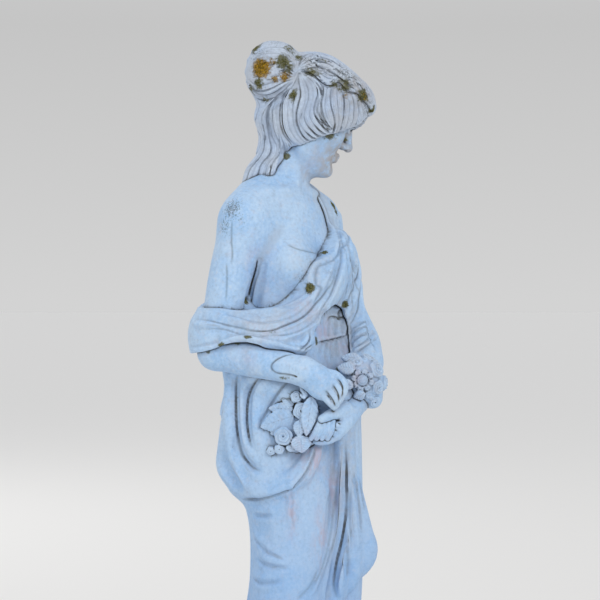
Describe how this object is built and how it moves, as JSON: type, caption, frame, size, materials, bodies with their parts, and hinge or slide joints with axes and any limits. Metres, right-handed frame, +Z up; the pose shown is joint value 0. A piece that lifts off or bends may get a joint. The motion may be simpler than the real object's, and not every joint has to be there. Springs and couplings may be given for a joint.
{
  "type": "statue",
  "caption": "Classical marble statue of a standing draped maiden with a high bun, holding a garland of roses, on a low square base carved from the same block.",
  "frame": {"origin": "middle of the square base's flat underside", "axes": "+Z up from the base to the head, -Y the way the chest faces, +X to her left"},
  "size_m": [0.4262, 0.4004, 1.6884],
  "materials": {
    "marble": "weathered matt white marble with a cool cast, grime in the folds and patches of lichen"
  },
  "bodies": {
    "root": {"statue": "marble"}
  },
  "joints": []
}
